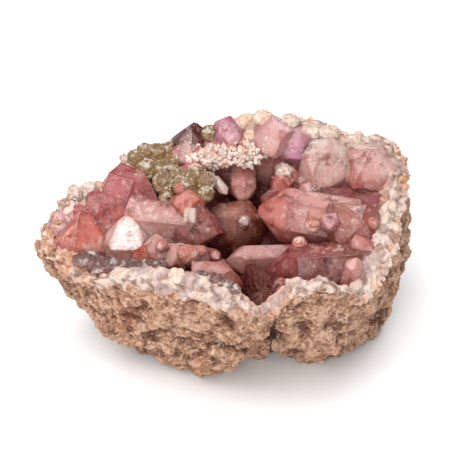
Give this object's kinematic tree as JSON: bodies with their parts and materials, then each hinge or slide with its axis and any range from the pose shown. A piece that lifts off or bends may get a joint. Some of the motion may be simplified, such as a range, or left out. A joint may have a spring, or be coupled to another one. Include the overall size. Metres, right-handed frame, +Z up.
{
  "type": "amethyst geode",
  "caption": "Broken half of a rock nodule lying with its hollow up, lined with a white quartz band and large cloudy pink crystals around a deep pocket.",
  "frame": {"origin": "on the ground under the middle of the stone's bounding box", "axes": "+X along the stone's length towards its square right-hand end, +Y towards the high back wall, +Z up; the low lip with the notch faces -Y"},
  "size_m": [0.1224, 0.0865, 0.0644],
  "materials": {
    "rind": "matte",
    "amethyst": "gloss"
  },
  "bodies": {
    "root": {"rind": "rind", "crystal_crust": "amethyst"}
  },
  "joints": []
}
